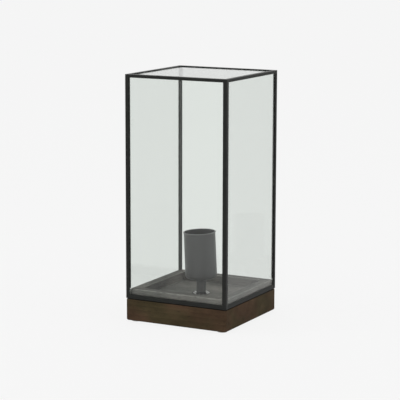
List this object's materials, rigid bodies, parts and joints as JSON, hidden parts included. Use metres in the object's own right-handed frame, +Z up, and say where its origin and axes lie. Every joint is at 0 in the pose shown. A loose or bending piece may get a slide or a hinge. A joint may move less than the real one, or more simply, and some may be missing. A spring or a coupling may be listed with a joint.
{
  "type": "lantern table lamp",
  "caption": "Square glass lantern on a dark wooden plinth, with a cup-shaped screw-cap lampholder on a short stem inside; the glazed steel lantern lifts off.",
  "frame": {"origin": "on the surface the lamp stands on, under the middle of the plinth", "axes": "+Z up the lamp; -Y is the front, +Y the side with the cord inlet"},
  "size_m": [0.16, 0.16, 0.3545],
  "materials": {
    "plinth_wood": "oiled, blotchy dark brown",
    "rim_wood": "dark stained",
    "cover_board": "dyed fibreboard",
    "felt": "felt",
    "black_plastic": "moulded",
    "block_plastic": "moulded nylon",
    "brass": "drawn",
    "contact_metal": "nickelled brass strip",
    "screw_steel": "zinc plated",
    "foot_plate_steel": "brushed",
    "stem_paint": "satin black",
    "cup_paint": "satin black",
    "socket_black": "pressed thermoset",
    "insulator": "ceramic",
    "live_insulation": "brown sleeving",
    "neutral_insulation": "blue sleeving",
    "black_steel": "satin black",
    "pane_glass": "clear float glass"
  },
  "bodies": {
    "base": {"plinth": "plinth_wood", "rim_batten_front": "rim_wood", "rim_batten_right": "rim_wood", "rim_batten_back": "rim_wood", "rim_batten_left": "rim_wood", "bottom_cover": "cover_board", "cover_screws": "screw_steel", "foot_pads": "felt", "cord_bushing": "black_plastic", "terminal_block": "block_plastic", "terminal_sleeves": "brass", "terminal_screws": "screw_steel", "block_screw": "screw_steel", "hollow_rod": "screw_steel", "rod_washer": "screw_steel", "rod_nut": "screw_steel", "foot_plate": "foot_plate_steel", "stem_sleeve": "stem_paint", "lampholder_cup": "cup_paint", "socket_cap": "socket_black", "socket_insert": "insulator", "socket_barrel": "socket_black", "threaded_shell": "contact_metal", "side_contact": "contact_metal", "contact_foot": "contact_metal", "live_wire": "live_insulation", "neutral_wire": "neutral_insulation"},
    "lantern": {"upright_front_left": "black_steel", "upright_front_right": "black_steel", "upright_back_right": "black_steel", "upright_back_left": "black_steel", "bottom_bar_front": "black_steel", "bottom_bar_right": "black_steel", "bottom_bar_back": "black_steel", "bottom_bar_left": "black_steel", "top_bar_front": "black_steel", "top_bar_right": "black_steel", "top_bar_back": "black_steel", "top_bar_left": "black_steel", "pane_front": "pane_glass", "pane_right": "pane_glass", "pane_back": "pane_glass", "pane_left": "pane_glass", "pane_top": "pane_glass"},
    "contact_tongue": {"centre_contact": "contact_metal"}
  },
  "joints": [
    {"name": "lantern_lift", "type": "slide", "parent": "base", "child": "lantern", "axis": [0, 0, 1], "range_m": [0, 0.13]},
    {"name": "contact_press", "type": "hinge", "parent": "base", "child": "contact_tongue", "pos_m": [-0.00787, -0.00046, 0.07997], "axis": [-0.0004, 0.9998, 0.0197], "range_deg": [0, 12], "stiffness_Nm_per_rad": 0.12}
  ]
}
